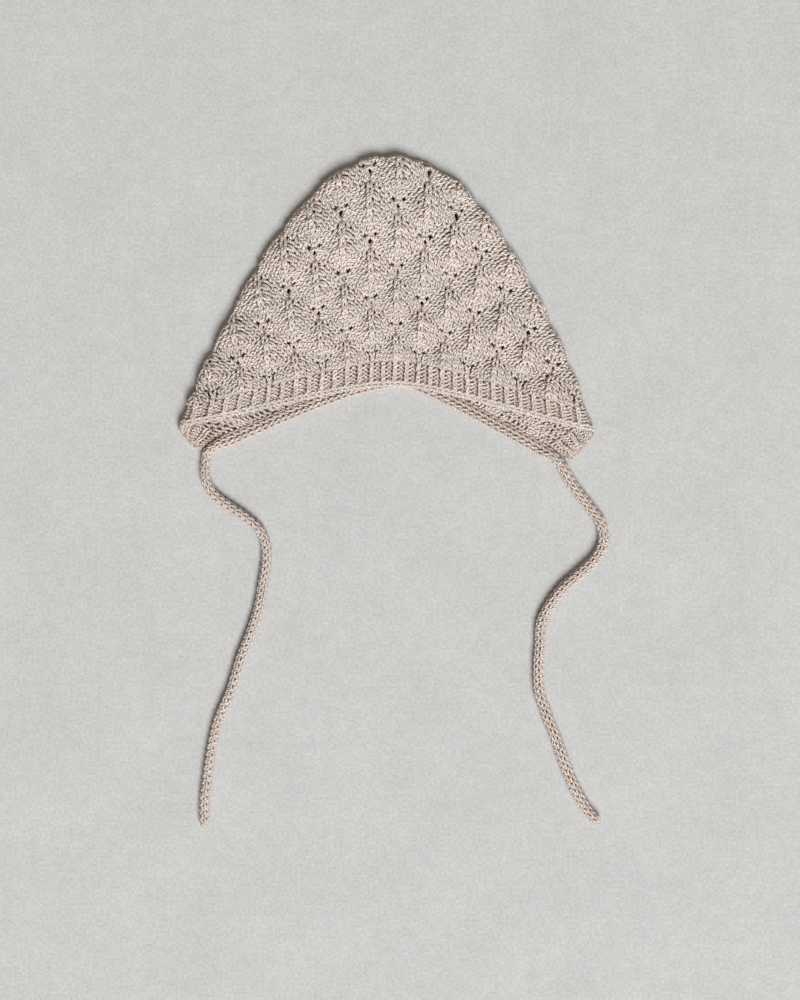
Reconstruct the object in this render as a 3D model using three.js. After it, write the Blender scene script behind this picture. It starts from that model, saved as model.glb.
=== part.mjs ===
import * as THREE from 'three';
import { mergeVertices } from 'three/addons/utils/BufferGeometryUtils.js';

// A hand-knitted baby bonnet lying flat on a table, in millimetres, +Z up, resting on z = 0.
// One lace strip is folded over its outline, and its last row is folded in half and seamed up
// the underside, so it makes a flat pocket that is open along the face edge and the neck edge.
// A place on the strip is (stitch, row): stitch 0 is the middle wale, row 0 the face edge.

// The strip
const EDGE_STITCH = 36;
const BAND_ROWS = 6;
const TIP_ROW = 45.5;
const SEAM_ROW = 50;
const WALL = 3.0;

// The flat outline is a parabola that drops x * x / OUTLINE_SPREAD below its tip
const TIP_Y = 84.6;
const OUTLINE_SPREAD = 93.3;
const FOLD_RADIUS = 2.75;

// The top layer: where the middle wale lies, how far apart stitches and rows are, and how the
// rows bow down to both sides
const MIDDLE_X = 3.9;
const FACE_Y = -50.4;
const STITCH_PITCH = 3.41;
const STITCH_SPREAD = 0.027;
const SIDE_STRETCH = 0.01875;
const ROW_PITCH = 2.226;
const ROW_SPREAD = 0.0162;
const STRETCHED_ROWS = 40;
const ROW_SLOPES = { face: 0.26, lace: 0.04, tip: 0.12 };
const TIP_BOW = { from: 36, to: 46 };
const ROW_ROUNDING = 24;

// The underside: where the seam meets the neck edge, and how the neck edge falls to both sides
const NECK_MIDDLE = { x: 7.8, y: -44.4 };
const NECK_SIDES = {
  left: { x: -111.5, slope: 0.5, rounding: 35 },
  right: { x: 104.5, slope: 0.54, rounding: 15 },
};

// How far past the outline the strip takes to settle on the underside
const UNDERSIDE_BEND = 25;
const UNDERSIDE_BLEND = { from: 2, to: 26 };

// The pocket stands off the table by LOFT away from its folds, less so in its first rows
const LOFT = 6.0;
const LOFT_REACH = 24;
const LOFT_AT_FACE = 0.72;
const LOFT_ROWS = 14;

// The lace leaves: diamonds of 8 stitches by 12 rows, puffed between their crease lines and
// fading out towards the fold
const LEAF = { stitches: 8, rows: 12, height: 1.4, power: 0.6 };
const LEAF_FADE = { from: 2, to: 12 };
const RIB_HEIGHT = 0.45;

// Cords of knitting: the bound-off face edge, the neck edging and the ties
const FACE_BEAD = 3.6;
const BEAD_END = 0.6;
const BEAD_CLEARANCE = 0.1;
const NECK_CORD = { width: 8.0, height: 4.5 };
const NECK_SPAN = { from: -0.94, to: 0.97 };
const TIE_DIAMETER = 6.5;

// Pieces keep GAP apart, and their rims ease further apart, in rows, where they go round the
// corners between these stitches
const GAP = 0.3;
const CORNER_EASE = 0.3;
const BEAD_EASE = 0.72;
const CORNER = { from: 24, to: 31 };

// How the flat bonnet is turned and placed, so that its box is centred on the origin
const LEAN = THREE.MathUtils.degToRad(-1.2);
const PLACE = { x: 2.17, y: 8.27 };

// The routes of the ties on the table, from the ends of the neck edging to their bare ends
const TIE_ROUTES = {
  tie_left: [
    { x: -108.0, y: -88.8 }, { x: -108.5, y: -93.8 }, { x: -108.0, y: -99.8 },
    { x: -105.4, y: -105.8 }, { x: -100.3, y: -111.1 }, { x: -93.1, y: -116.2 },
    { x: -83.5, y: -122.8 }, { x: -75.1, y: -130.9 }, { x: -72.1, y: -139.3 },
    { x: -71.8, y: -148.3 }, { x: -73.9, y: -162.2 }, { x: -76.9, y: -178.3 },
    { x: -81.7, y: -192.8 }, { x: -87.7, y: -208.3 }, { x: -93.4, y: -226.9 },
    { x: -100.9, y: -244.9 }, { x: -105.1, y: -263.6 }, { x: -107.1, y: -277.3 },
    { x: -108.7, y: -291.1 }, { x: -109.0, y: -307.3 },
  ],
  tie_right: [
    { x: 105.9, y: -92.5 }, { x: 108.7, y: -98.5 }, { x: 113.3, y: -105.5 },
    { x: 118.1, y: -111.8 }, { x: 123.2, y: -118.3 }, { x: 128.6, y: -126.2 },
    { x: 130.1, y: -136.3 }, { x: 125.9, y: -145.9 }, { x: 116.3, y: -155.5 },
    { x: 106.7, y: -163.9 }, { x: 98.9, y: -173.5 }, { x: 92.9, y: -185.5 },
    { x: 92.0, y: -199.3 }, { x: 91.0, y: -213.8 }, { x: 91.7, y: -226.3 },
    { x: 96.5, y: -241.3 }, { x: 102.5, y: -256.9 }, { x: 107.3, y: -270.8 },
    { x: 112.7, y: -283.9 }, { x: 118.1, y: -294.1 }, { x: 122.9, y: -300.8 },
    { x: 127.4, y: -304.6 },
  ],
};

// The ends of the neck edging, where it turns down into the ties
const NECK_TURNS = {
  left: [{ x: -108.0, y: -98.6 }, { x: -107.8, y: -94.6 }],
  right: [{ x: 101.6, y: -94.0 }, { x: 105.0, y: -97.8 }],
};

// Mesh sizes
const CROWN_COLUMNS = 48;
const CROWN_ROWS = 31;
const BAND_STEPS = 2;
const CORD_SIDES = 10;
const EDGE_STEPS = 46;
const NECK_STEPS = 30;
const NECK_AHEAD = 0.01;
const TIE_STEPS = 30;
const SLOPE_STEP = 0.3;
const TABLE_SNAP = 0.02;
const WELD = 1e-3;

// The search for the nearest point of the outline, and for the fold along a row
const SEARCH = { steps: 30, pace: 0.9, offAxis: 0.05, leastRate: 1e-3 };
const FOLD_SEARCH = { steps: 40, beyond: 40 };

const { clamp, smoothstep } = THREE.MathUtils;

// A curve that falls from 0 with a rounded top, then at a steady slope
function roof(x, slope, rounding) {
  return slope * (Math.hypot(x, rounding) - rounding);
}

// The strip before it is folded: its top layer carried on flat past the outline
function flatPlace(stitch, row) {
  const pitch = STITCH_PITCH + STITCH_SPREAD * Math.max(0, row - BAND_ROWS - 1);
  const stretch = SIDE_STRETCH * Math.max(0, 1 - row / STRETCHED_ROWS);
  const slope = ROW_SLOPES.face + ROW_SLOPES.lace * clamp(row / BAND_ROWS, 0, 1)
    + ROW_SLOPES.tip * smoothstep(row, TIP_BOW.from, TIP_BOW.to);
  const x = MIDDLE_X + pitch * stitch + stretch * stitch * Math.abs(stitch);
  const y = FACE_Y + ROW_PITCH * row + ROW_SPREAD * row * row;
  return { x, y: y - roof(x - MIDDLE_X, slope, ROW_ROUNDING) };
}

// The nearest point of the outline, its outward direction and the distance past it
function outlineNear(place) {
  const side = place.x < 0 ? -1 : 1;
  const level = Math.sqrt(Math.max(0, (TIP_Y - place.y) * OUTLINE_SPREAD));
  const drop = TIP_Y - place.y;
  let x = side * Math.max((Math.abs(place.x) + level) / 2, SEARCH.offAxis);
  for (let step = 0; step < SEARCH.steps; step += 1) {
    const error = x - place.x - (drop - x * x / OUTLINE_SPREAD) * 2 * x / OUTLINE_SPREAD;
    const rate = 1 - 2 * drop / OUTLINE_SPREAD + 6 * x * x / OUTLINE_SPREAD ** 2;
    x -= SEARCH.pace * error / (Math.abs(rate) < SEARCH.leastRate ? SEARCH.leastRate : rate);
    x = side * Math.max(side * x, 0);
  }
  const y = TIP_Y - x * x / OUTLINE_SPREAD;
  const length = Math.hypot(2 * x / OUTLINE_SPREAD, 1);
  const out = { x: 2 * x / OUTLINE_SPREAD / length, y: 1 / length };
  return { x, y, out, past: (place.x - x) * out.x + (place.y - y) * out.y };
}

// The stitch at which a row goes over the fold, 0 past the tip
function foldStitch(row, side) {
  if (row >= TIP_ROW) {
    return 0;
  }
  let inside = 0;
  let outside = FOLD_SEARCH.beyond;
  for (let step = 0; step < FOLD_SEARCH.steps; step += 1) {
    const middle = (inside + outside) / 2;
    const place = flatPlace(side * middle, row);
    if (TIP_Y - place.x ** 2 / OUTLINE_SPREAD > place.y) {
      inside = middle;
    } else {
      outside = middle;
    }
  }
  return inside;
}

// A point of the neck edge, from -1 at the left corner through 0 at the seam to 1 at the right
function neckEdge(share) {
  const side = share < 0 ? NECK_SIDES.left : NECK_SIDES.right;
  const reach = (side.x - NECK_MIDDLE.x) * Math.abs(share);
  return { x: NECK_MIDDLE.x + reach, y: NECK_MIDDLE.y - roof(reach, side.slope, side.rounding) };
}

// Where a place on the strip lies on the underside: spread evenly from the fold to the neck edge
function undersidePlace(stitch, row) {
  const side = stitch < 0 ? -1 : 1;
  const atFold = foldStitch(row, side);
  const start = flatPlace(side * atFold, row);
  if (row >= TIP_ROW) {
    start.y = TIP_Y - Math.max(0, start.y - TIP_Y);
  }
  const end = neckEdge(side * (1 - row / SEAM_ROW));
  const share = clamp((Math.abs(stitch) - atFold) / (EDGE_STITCH - atFold), 0, 1);
  return { x: start.x + share * (end.x - start.x), y: start.y + share * (end.y - start.y) };
}

// The middle of the knitted wall at a place on the strip, folded and lofted
function wallMiddle(stitch, row) {
  const flat = flatPlace(stitch, row);
  const near = outlineNear(flat);
  const settling = UNDERSIDE_BEND * Math.tanh(near.past / UNDERSIDE_BEND);
  const past = near.past > 0 ? settling : near.past;
  const inward = Math.abs(past) * Math.tanh(Math.abs(past) / (2 * FOLD_RADIUS));
  const point = new THREE.Vector3(near.x - near.out.x * inward, near.y - near.out.y * inward, 0);
  const round = Math.max(0, 1 - inward / FOLD_RADIUS);
  const arc = FOLD_RADIUS * Math.sqrt(1 - round * round);
  const middle = FOLD_RADIUS + WALL / 2;
  if (near.past > 0) {
    const bending = 1 - smoothstep(near.past, UNDERSIDE_BLEND.from, UNDERSIDE_BLEND.to);
    const share = 1 - bending * (1 - smoothstep(row, TIP_ROW, SEAM_ROW));
    const under = undersidePlace(stitch, row);
    point.lerp(new THREE.Vector3(under.x, under.y, 0), share);
    point.z = middle - arc;
  } else {
    const faceShare = LOFT_AT_FACE + (1 - LOFT_AT_FACE) * smoothstep(row, 0, LOFT_ROWS);
    point.z = middle + arc + LOFT * faceShare * (1 - Math.exp(-((inward / LOFT_REACH) ** 2)));
  }
  return { point, past: near.past };
}

// The outward direction of the wall, straight down where the underside lies flat
function wallOut(stitch, row) {
  if (wallMiddle(stitch, row).past > 2 * FOLD_RADIUS) {
    return new THREE.Vector3(0, 0, -1);
  }
  const step = SLOPE_STEP;
  const across = wallMiddle(stitch + step, row).point.sub(wallMiddle(stitch - step, row).point);
  const up = wallMiddle(stitch, row + step).point.sub(wallMiddle(stitch, row - step).point);
  return across.cross(up).normalize();
}

// How far the fabric puffs out of its wall: leaves in the lace, columns in the ribbed band
function leafRelief(stitch, row, past) {
  const wale = stitch / LEAF.stitches;
  const course = row / LEAF.rows;
  const puff = Math.abs(Math.sin(Math.PI * (wale + course)) * Math.sin(Math.PI * (wale - course)));
  return LEAF.height * (puff ** LEAF.power) * smoothstep(-past, LEAF_FADE.from, LEAF_FADE.to);
}

function ribRelief(stitch) {
  return RIB_HEIGHT * Math.cos(Math.PI * stitch);
}

// A grid of places on the strip. Where an edge of the grid crosses the fold, its nearer end is
// moved onto the fold, so that the fold is a clean line of corners.
function foldedGrid(columns, rows, rowAt) {
  const even = rows.map((row, r) => columns.map((stitch) => ({ stitch, row: rowAt(stitch, row, r) })));
  const grid = even.map((line) => line.map((place) => ({ ...place, onFold: false })));
  const past = even.map((line) => line.map((place) => wallMiddle(place.stitch, place.row).past));
  const lastRow = rows.length - 1;
  const lastColumn = columns.length - 1;
  const steps = [[0, 1], [0, -1], [1, 0], [-1, 0]];
  grid.forEach((line, r) => line.forEach((place, c) => {
    let nearest = 0.5;
    for (const [dr, dc] of steps) {
      const neighbour = grid[r + dr]?.[c + dc];
      const onRim = (dr !== 0 && (r === 0 || r === lastRow))
        || (dc !== 0 && (c === 0 || c === lastColumn));
      if (neighbour && !onRim && past[r][c] * past[r + dr][c + dc] < 0) {
        const share = past[r][c] / (past[r][c] - past[r + dr][c + dc]);
        if (share < nearest) {
          const [from, to] = [even[r][c], even[r + dr][c + dc]];
          nearest = share;
          place.stitch = from.stitch + share * (to.stitch - from.stitch);
          place.row = from.row + share * (to.row - from.row);
          place.onFold = true;
        }
      }
    }
  }));
  return grid;
}

// A wall of even thickness over a grid of places, its last row joined left to right if seamed
function stripShell(columns, rows, rowAt, relief, seamed) {
  const grid = foldedGrid(columns, rows, rowAt);
  const width = columns.length;
  const count = width * rows.length;
  const outer = [];
  const inner = [];
  for (const place of grid.flat()) {
    const { point, past } = wallMiddle(place.stitch, place.row);
    const out = wallOut(place.stitch, place.row);
    point.addScaledVector(out, relief(place.stitch, place.row, past));
    const outside = point.clone().addScaledVector(out, WALL / 2);
    const inside = point.clone().addScaledVector(out, -WALL / 2);
    outside.z = outside.z < TABLE_SNAP ? 0 : outside.z;
    outer.push(...outside.toArray());
    inner.push(...inside.toArray());
  }
  const index = [];
  const face = (a, b, c) => {
    index.push(a, b, c, c + count, b + count, a + count);
  };
  for (let r = 0; r + 1 < rows.length; r += 1) {
    for (let c = 0; c + 1 < width; c += 1) {
      const [a, b] = [r * width + c, r * width + c + 1];
      const [d, e] = [a + width, b + width];
      const risesLeft = grid[r][c + 1].onFold && grid[r + 1][c].onFold;
      const risesRight = grid[r][c].onFold && grid[r + 1][c + 1].onFold;
      if (risesLeft || (!risesRight && columns[c] >= 0)) {
        face(a, b, d);
        face(b, e, d);
      } else {
        face(a, b, e);
        face(a, e, d);
      }
    }
  }
  const rim = (a, b) => {
    index.push(b, a, a + count, b, a + count, b + count);
  };
  for (let c = 0; c + 1 < width; c += 1) {
    rim(c, c + 1);
    if (!seamed) {
      rim(count - 1 - c, count - 2 - c);
    }
  }
  for (let r = 0; r + 1 < rows.length; r += 1) {
    rim((r + 1) * width, r * width);
    rim((r + 1) * width - 1, (r + 2) * width - 1);
  }
  const geometry = new THREE.BufferGeometry();
  geometry.setAttribute('position', new THREE.Float32BufferAttribute([...outer, ...inner], 3));
  geometry.setIndex(index);
  return finished(geometry);
}

function finished(geometry) {
  geometry.deleteAttribute('normal');
  geometry.deleteAttribute('uv');
  const merged = mergeVertices(geometry, WELD);
  merged.computeVertexNormals();
  return merged;
}

function evenSteps(from, to, steps) {
  return Array.from({ length: steps + 1 }, (_, n) => from + (to - from) * n / steps);
}

// A cord of knitting: an oval section carried along a smooth route
function cord(route, width, height, steps) {
  const section = new THREE.Shape(Array.from({ length: CORD_SIDES }, (_, n) => {
    const turn = 2 * Math.PI * (n + 0.5) / CORD_SIDES;
    return new THREE.Vector2(height / 2 * Math.cos(turn), width / 2 * Math.sin(turn));
  }));
  const extrudePath = new THREE.CatmullRomCurve3(route);
  return finished(new THREE.ExtrudeGeometry(section, { steps, bevelEnabled: false, extrudePath }));
}

// 0 along the flat top, 1 round the corners, where the rims of neighbours ease apart
function cornerShare(stitch) {
  return smoothstep(Math.abs(stitch), CORNER.from, CORNER.to);
}

function crownShell() {
  const columns = evenSteps(-EDGE_STITCH, EDGE_STITCH, CROWN_COLUMNS);
  const rows = evenSteps(BAND_ROWS + GAP / 2 / ROW_PITCH, SEAM_ROW, CROWN_ROWS);
  const rowAt = (stitch, row, r) => row + (r === 0 ? CORNER_EASE * cornerShare(stitch) : 0);
  return stripShell(columns, rows, rowAt, leafRelief, true);
}

function faceBandShell() {
  const columns = evenSteps(-EDGE_STITCH, EDGE_STITCH, 4 * EDGE_STITCH);
  const clearOfBead = (FACE_BEAD / 2 + 2 * GAP) / ROW_PITCH;
  const rows = evenSteps(clearOfBead, BAND_ROWS - GAP / 2 / ROW_PITCH, BAND_STEPS);
  const eases = [BEAD_EASE, 0, -CORNER_EASE];
  const rowAt = (stitch, row, r) => row + eases[r] * cornerShare(stitch);
  return stripShell(columns, rows, rowAt, ribRelief, false);
}

function faceEdgingCord() {
  const reach = EDGE_STITCH - BEAD_END;
  const route = evenSteps(-reach, reach, EDGE_STEPS).map((stitch) => {
    const { point } = wallMiddle(stitch, 0);
    return point.setZ(Math.max(point.z, FACE_BEAD / 2 + BEAD_CLEARANCE));
  });
  return cord(route, FACE_BEAD, FACE_BEAD, EDGE_STEPS);
}

// The neck edging runs beside the neck edge and turns down into the ties at both corners
function neckEdgingCord() {
  const beside = NECK_CORD.width / 2 + GAP;
  const along = evenSteps(NECK_SPAN.from, NECK_SPAN.to, NECK_STEPS).map((share) => {
    const here = neckEdge(share);
    const ahead = neckEdge(share + NECK_AHEAD);
    const length = Math.hypot(ahead.x - here.x, ahead.y - here.y);
    const down = { x: (ahead.y - here.y) / length, y: -(ahead.x - here.x) / length };
    return { x: here.x + down.x * beside, y: here.y + down.y * beside };
  });
  const route = [...NECK_TURNS.left, ...along, ...NECK_TURNS.right];
  const level = NECK_CORD.height / 2;
  return cord(route.map(({ x, y }) => new THREE.Vector3(x, y, level)),
    NECK_CORD.width, NECK_CORD.height, EDGE_STEPS);
}

function tieCord(route) {
  const level = TIE_DIAMETER / 2;
  return cord(route.map(({ x, y }) => new THREE.Vector3(x, y, level)),
    TIE_DIAMETER, TIE_DIAMETER, TIE_STEPS);
}

const creamWool = new THREE.MeshStandardMaterial({ color: 0xc4b4a8, roughness: 0.95 });
const ribWool = new THREE.MeshStandardMaterial({ color: 0xc8b9ae, roughness: 0.95 });
const edgeWool = new THREE.MeshStandardMaterial({ color: 0xd0c3b8, roughness: 0.95 });

function piece(name, geometry, material) {
  const mesh = new THREE.Mesh(geometry, material);
  mesh.name = name;
  return mesh;
}

const bonnet = new THREE.Group();
bonnet.add(
  piece('crown', crownShell(), creamWool),
  piece('face_band', faceBandShell(), ribWool),
  piece('face_edging', faceEdgingCord(), edgeWool),
  piece('neck_edging', neckEdgingCord(), edgeWool),
);
bonnet.rotation.z = LEAN;
bonnet.position.set(PLACE.x, PLACE.y, 0);

const group = new THREE.Group();
group.add(bonnet);
for (const [name, route] of Object.entries(TIE_ROUTES)) {
  group.add(piece(name, tieCord(route), edgeWool));
}

export default group;
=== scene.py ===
"""A hand-knitted baby bonnet that lies flat, with every stitch looped from a strand of wool."""

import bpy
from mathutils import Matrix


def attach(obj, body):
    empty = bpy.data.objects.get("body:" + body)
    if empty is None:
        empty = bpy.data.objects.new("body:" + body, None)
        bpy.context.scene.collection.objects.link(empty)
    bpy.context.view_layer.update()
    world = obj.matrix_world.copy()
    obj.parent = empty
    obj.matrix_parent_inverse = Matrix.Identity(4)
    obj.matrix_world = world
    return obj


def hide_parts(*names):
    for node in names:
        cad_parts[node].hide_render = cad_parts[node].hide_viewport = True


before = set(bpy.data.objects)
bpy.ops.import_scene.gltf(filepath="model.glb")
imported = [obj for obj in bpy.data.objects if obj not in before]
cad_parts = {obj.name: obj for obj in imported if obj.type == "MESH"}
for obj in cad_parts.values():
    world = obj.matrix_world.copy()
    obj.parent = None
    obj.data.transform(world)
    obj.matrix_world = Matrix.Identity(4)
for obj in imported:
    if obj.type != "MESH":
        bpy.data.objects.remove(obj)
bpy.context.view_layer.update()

import math

import bpy
import numpy as np
from bpy.props import FloatProperty, FloatVectorProperty, PointerProperty
from bpy.types import Operator, Panel, PropertyGroup

bl_info = {
    "name": "Knitted Baby Bonnet",
    "version": (1, 0, 0),
    "blender": (4, 5, 0),
    "location": "3D View > Sidebar > Bonnet",
    "description": "Knits a lace bonnet with a ribbed band and two cord ties, stitch by stitch",
    "category": "Add Mesh",
}

# The strip that the bonnet is folded from. A place on it is (stitch, row): stitch 0 is the
# middle wale, row 0 the face edge, and the last row is seamed up the underside.
EDGE_STITCH = 36
BAND_ROWS = 6
TIP_ROW = 45.5
SEAM_ROW = 50

# The flat outline is a parabola that drops x * x / OUTLINE_SPREAD below its tip
TIP_Y = 0.0846
OUTLINE_SPREAD = 0.0933
FOLD_RADIUS = 0.00275
WALL = 0.003

# The top layer: the middle wale's place, the pitches, and how rows bow down to both sides
MIDDLE_X = 0.0039
FACE_Y = -0.0504
STITCH_PITCH = 0.00341
STITCH_SPREAD = 0.000027
SIDE_STRETCH = 0.00001875
SIDE_STRETCH_ROWS = 40
ROW_PITCH = 0.002226
ROW_SPREAD = 0.0000162
FACE_SLOPE = 0.26
LACE_SLOPE = 0.04
TIP_SLOPE = 0.12
TIP_SLOPE_ROWS = (36, 46)
ROW_ROUNDING = 0.024

# The neck edge on the underside, from the seam down to both corners
NECK_X = 0.0078
NECK_Y = -0.0444
NECK_LEFT = {"x": -0.1115, "slope": 0.5, "rounding": 0.035}
NECK_RIGHT = {"x": 0.1045, "slope": 0.54, "rounding": 0.015}
CORNER_REACH = 1.05
PAST_NECK_EDGE = 1.1

# Past the outline the strip goes round the fold for at most ROUND_FOLD, and it comes to lie on
# the underside between the two distances of LYING
ROUND_FOLD = 0.025
LYING = (0.002, 0.026)

# The pocket stands off the table by LOFT away from its folds, and less near the face edge
LOFT = 0.004
LOFT_REACH = 0.014
LOFT_AT_FACE = 0.72
LOFT_ROWS = 14

# The searches for the nearest point of the outline and for the place where each row folds
NEAREST_STEPS = 30
NEAREST_EASE = 0.9
LEAST_X = 0.00005
LEAST_RATE = 1e-3
FOLD_ROWS = 400
FOLD_STEPS = 40
FAR_STITCH = 40.0

# How the flat bonnet is turned and placed
LEAN = math.radians(-1.2)
PLACE = np.array([0.00217, 0.00827])

# The lace repeat: leaves of 8 stitches by 12 rows. Past PLAIN_FROM the strip is plain.
LEAF_STITCHES = 8
LEAF_ROWS = 12
PLAIN_FROM = 30
KNIT, YARN_OVER, TRIPLE = 0, 1, 2

# The relief of the leaves: near the outline they stand higher, with deeper valleys between them
LEAF_HEIGHT = 0.0010
LEAF_POWER = 0.7
OUTLINE_ZONE = (-0.012, -0.002)
OUTLINE_LEAF = 1.5
OUTLINE_VALLEY = 0.0009
RELIEF_END = 0.006
LOWEST_YARN = 0.0014

# The raised wale below each meeting point of leaves, with its stitches pinched, and painted paler as a
# painted highlight on the raised wale
SPINE_HEIGHT = 0.0022
SPINE_HALF = 0.7
SPINE_START = (-0.5, 1.0)
SPINE_END = (5.0, 6.0)
SPINE_FROM = 0.4
SPINE_PINCH = 0.6
SPINE_HIGHLIGHT = 1.6

# How the stitches of a repeat settle: their size, how far they draw in, and the gaps at holes
STITCH_SIZE = (0.0036, 0.0028)
PULLED_IN = 0.7
LOWER_HOLE = 2.2
UPPER_HOLES = 1.9
SETTLE_STEPS = 300
SETTLE_EASE = 0.25

# The hole that the lower yarn-over of each leaf leaves, and how its size varies
HOLE_RADIUS = 0.0019
HOLE_BELOW = -0.9
HOLE_REACH = 0.0036
HOLE_LEAST = 0.5
HOLE_VARIETY = 0.3
HOLE_SHUFFLE = (37, 11)
HOLE_GROWTH = 0.008
LEAST_DISTANCE = 0.0001

# The loops of the strip's stitches, in stitches and rows, and how uneven they are
LOOP_HALF = 0.82
LOOP_NARROW = 0.215
LOOP_STEPS = 14
LOOP_YARN = 0.92
LOOSENESS = 0.06
UNEVEN = 0.05
YARN_OVER_NARROW = -0.04
YARN_OVER_SAG = 0.45
TRIPLE_HEAD = 0.7
TRIPLE_LIFT = 0.0006
TRIPLE_SINK = -0.0002
RIB_HEAD = 0.75
RIB_DEPTH = 0.00035
RIB_PINCH = 0.3
PURL_NARROW = 0.12

# The links of the bound-off edge
LINK_STEPS = 18
LINK_GAP = 0.04
LINK_NARROW = 0.27
LINK_HALF = 1.0
LINK_ROW = 0.05
LINK_WIDTH = 1.8
LINK_DEPTH = 0.8
LINK_LIFT = 0.0004
# The links' painted shade is spread so that they are painted paler, a painted highlight
LINK_HIGHLIGHT = 1.5

# A strand's girth changes a little from one knot to the next
KNOT_POINTS = 5
GIRTH_VARIETY = 0.07

# The routes of the ties on the table
TIE_DIAMETER = 0.0065
TIE_RIGHT_WIDTH = 0.0071
TIE_LEFT = [
    (-0.1080, -0.0888), (-0.1085, -0.0938), (-0.1080, -0.0998), (-0.1054, -0.1058),
    (-0.1003, -0.1111), (-0.0931, -0.1162), (-0.0835, -0.1228), (-0.0751, -0.1309),
    (-0.0721, -0.1393), (-0.0718, -0.1483), (-0.0739, -0.1622), (-0.0769, -0.1783),
    (-0.0817, -0.1928), (-0.0877, -0.2083), (-0.0934, -0.2269), (-0.1009, -0.2449),
    (-0.1051, -0.2636), (-0.1071, -0.2773), (-0.1087, -0.2911), (-0.1090, -0.3073),
]
TIE_RIGHT = [
    (0.1059, -0.0925), (0.1087, -0.0985), (0.1133, -0.1055), (0.1181, -0.1118),
    (0.1232, -0.1183), (0.1286, -0.1262), (0.1301, -0.1363), (0.1259, -0.1459),
    (0.1163, -0.1555), (0.1067, -0.1639), (0.0989, -0.1735), (0.0929, -0.1855),
    (0.0920, -0.1993), (0.0910, -0.2138), (0.0917, -0.2263), (0.0965, -0.2413),
    (0.1025, -0.2569), (0.1073, -0.2708), (0.1127, -0.2839), (0.1181, -0.2941),
    (0.1229, -0.3008), (0.1274, -0.3046),
]

# The neck edging, and where it turns down into the ties, in the bonnet's own frame
NECK_CORD_WIDTH = 0.0088
NECK_CORD_HEIGHT = 0.0045
NECK_FROM = -0.94
NECK_TO = 0.97
NECK_POINTS = 31
NECK_TURN_LEFT = (-0.1078, -0.0946)
NECK_TURN_RIGHT = (0.1016, -0.0940)

# The cord that makes the ties and the neck edging is knitted in the round, and narrows at its
# two ends to CORD_END of its width
CORD_WALES = 4
CORD_ROUND = 0.0043
CORD_HALF = 0.84
CORD_NARROW = 0.235
CORD_START = 0.25
CORD_TWIST = 6.0
CORD_YARN = 0.9
CORD_END = 0.2
ROUTE_SPACING = 0.0005
ROUTE_FINE = 40
PATH_STEP = 8

# The rows of each piece of the crown
LACE_PIECES = (("lower", 6, 20), ("middle", 21, 35), ("upper", 36, 49))

# Noises of the wool as scale and detail, and the shades that they and the plies give it: the plies
# give painted shade in the grooves between them, the noises random tone
FIBRES = (1900, 3)
WANDER = (400, 1)
PATCHES = (90, 2)
FIBRE_BUMP = 0.8
WANDER_TURNS = 0.35
# Painted shade between the loops: a strand nearer the wall's middle than HOLLOW_HEIGHT is painted the
# darker hollow shade, rising to the wool colour at FULL_HEIGHT
HOLLOW_HEIGHT = 0.0001
FULL_HEIGHT = 0.0012
NOISE_RANGE = (0.3, 0.7)
PLY_RANGE = (-1, 0.2)
PAINTED_PLY_SHADE = (0.8, 1.05)
FIBRE_SHADE = (0.92, 1.08)
SLIGHT_SHADE = (0.95, 1.05)

# The mottle of the paper as scale, detail and strength
MOTTLE = ((22, 6, 0.03), (130, 4, 0.035), (600, 4, 0.105))

FLOOR_SIZE = 6
LENS = 100
VIEW_END = 10
CAMERA_X = 0.00817
CAMERA_Y = -0.11173
CM_PER_M = 100
SEED = 7


def smoothstep(low, high, value):
    """0 below low, 1 above high, and a smooth rise between them."""
    share = np.clip((value - low) / (high - low), 0, 1)
    return share * share * (3 - 2 * share)


def roof(x, slope, rounding):
    """A curve that falls from 0 with a rounded top, then at a steady slope."""
    return slope * (np.hypot(x, rounding) - rounding)


def flat_place(stitch, row):
    """The strip before it is folded: its top layer carried on flat past the outline."""
    pitch = STITCH_PITCH + STITCH_SPREAD * np.maximum(0, row - BAND_ROWS - 1)
    stretch = SIDE_STRETCH * np.maximum(0, 1 - row / SIDE_STRETCH_ROWS)
    slope = FACE_SLOPE + LACE_SLOPE * np.clip(row / BAND_ROWS, 0, 1)
    slope = slope + TIP_SLOPE * smoothstep(*TIP_SLOPE_ROWS, row)
    x = MIDDLE_X + pitch * stitch + stretch * stitch * np.abs(stitch)
    y = FACE_Y + ROW_PITCH * row + ROW_SPREAD * row * row
    return x, y - roof(x - MIDDLE_X, slope, ROW_ROUNDING)


def outline_near(x_at, y_at):
    """The nearest point of the outline, its outward direction and the distance past it."""
    side = np.where(x_at < 0, -1.0, 1.0)
    drop = TIP_Y - y_at
    level = np.sqrt(np.maximum(0, drop * OUTLINE_SPREAD))
    x = side * np.maximum((np.abs(x_at) + level) / 2, LEAST_X)
    for _ in range(NEAREST_STEPS):
        error = x - x_at - (drop - x * x / OUTLINE_SPREAD) * 2 * x / OUTLINE_SPREAD
        rate = 1 - 2 * drop / OUTLINE_SPREAD + 6 * x * x / OUTLINE_SPREAD ** 2
        x = x - NEAREST_EASE * error / np.where(np.abs(rate) < LEAST_RATE, LEAST_RATE, rate)
        x = side * np.maximum(side * x, 0)
    y = TIP_Y - x * x / OUTLINE_SPREAD
    length = np.hypot(2 * x / OUTLINE_SPREAD, 1)
    out_x = 2 * x / OUTLINE_SPREAD / length
    out_y = 1 / length
    return x, y, out_x, out_y, (x_at - x) * out_x + (y_at - y) * out_y


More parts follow.
